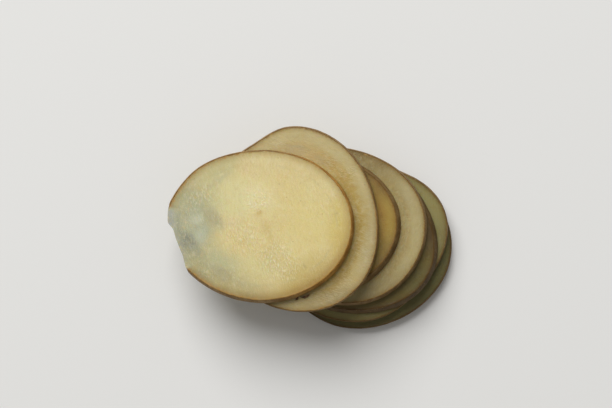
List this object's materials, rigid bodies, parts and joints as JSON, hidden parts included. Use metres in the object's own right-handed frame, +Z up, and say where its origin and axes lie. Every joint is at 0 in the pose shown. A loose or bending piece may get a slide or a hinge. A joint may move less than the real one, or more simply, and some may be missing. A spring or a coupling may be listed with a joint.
{
  "type": "sliced potato",
  "caption": "Potato cut by hand into thin round slices with the skin on, still lying on one another in a low fanned pile.",
  "frame": {"origin": "middle of the pile's box, on the surface that the pile lies on", "axes": "+X along the fan, from the top slice's side towards the bottom slice's side; +Y across it; +Z up through the slices"},
  "size_m": [0.1366, 0.0984, 0.0384],
  "materials": {
    "flesh": "satin",
    "skin": "matte"
  },
  "bodies": {
    "root": {"slice_1_top": "flesh", "slice_2": "flesh", "slice_3": "flesh", "slice_4": "flesh", "slice_5": "flesh", "slice_6": "flesh", "slice_7_bottom": "flesh"}
  },
  "joints": []
}
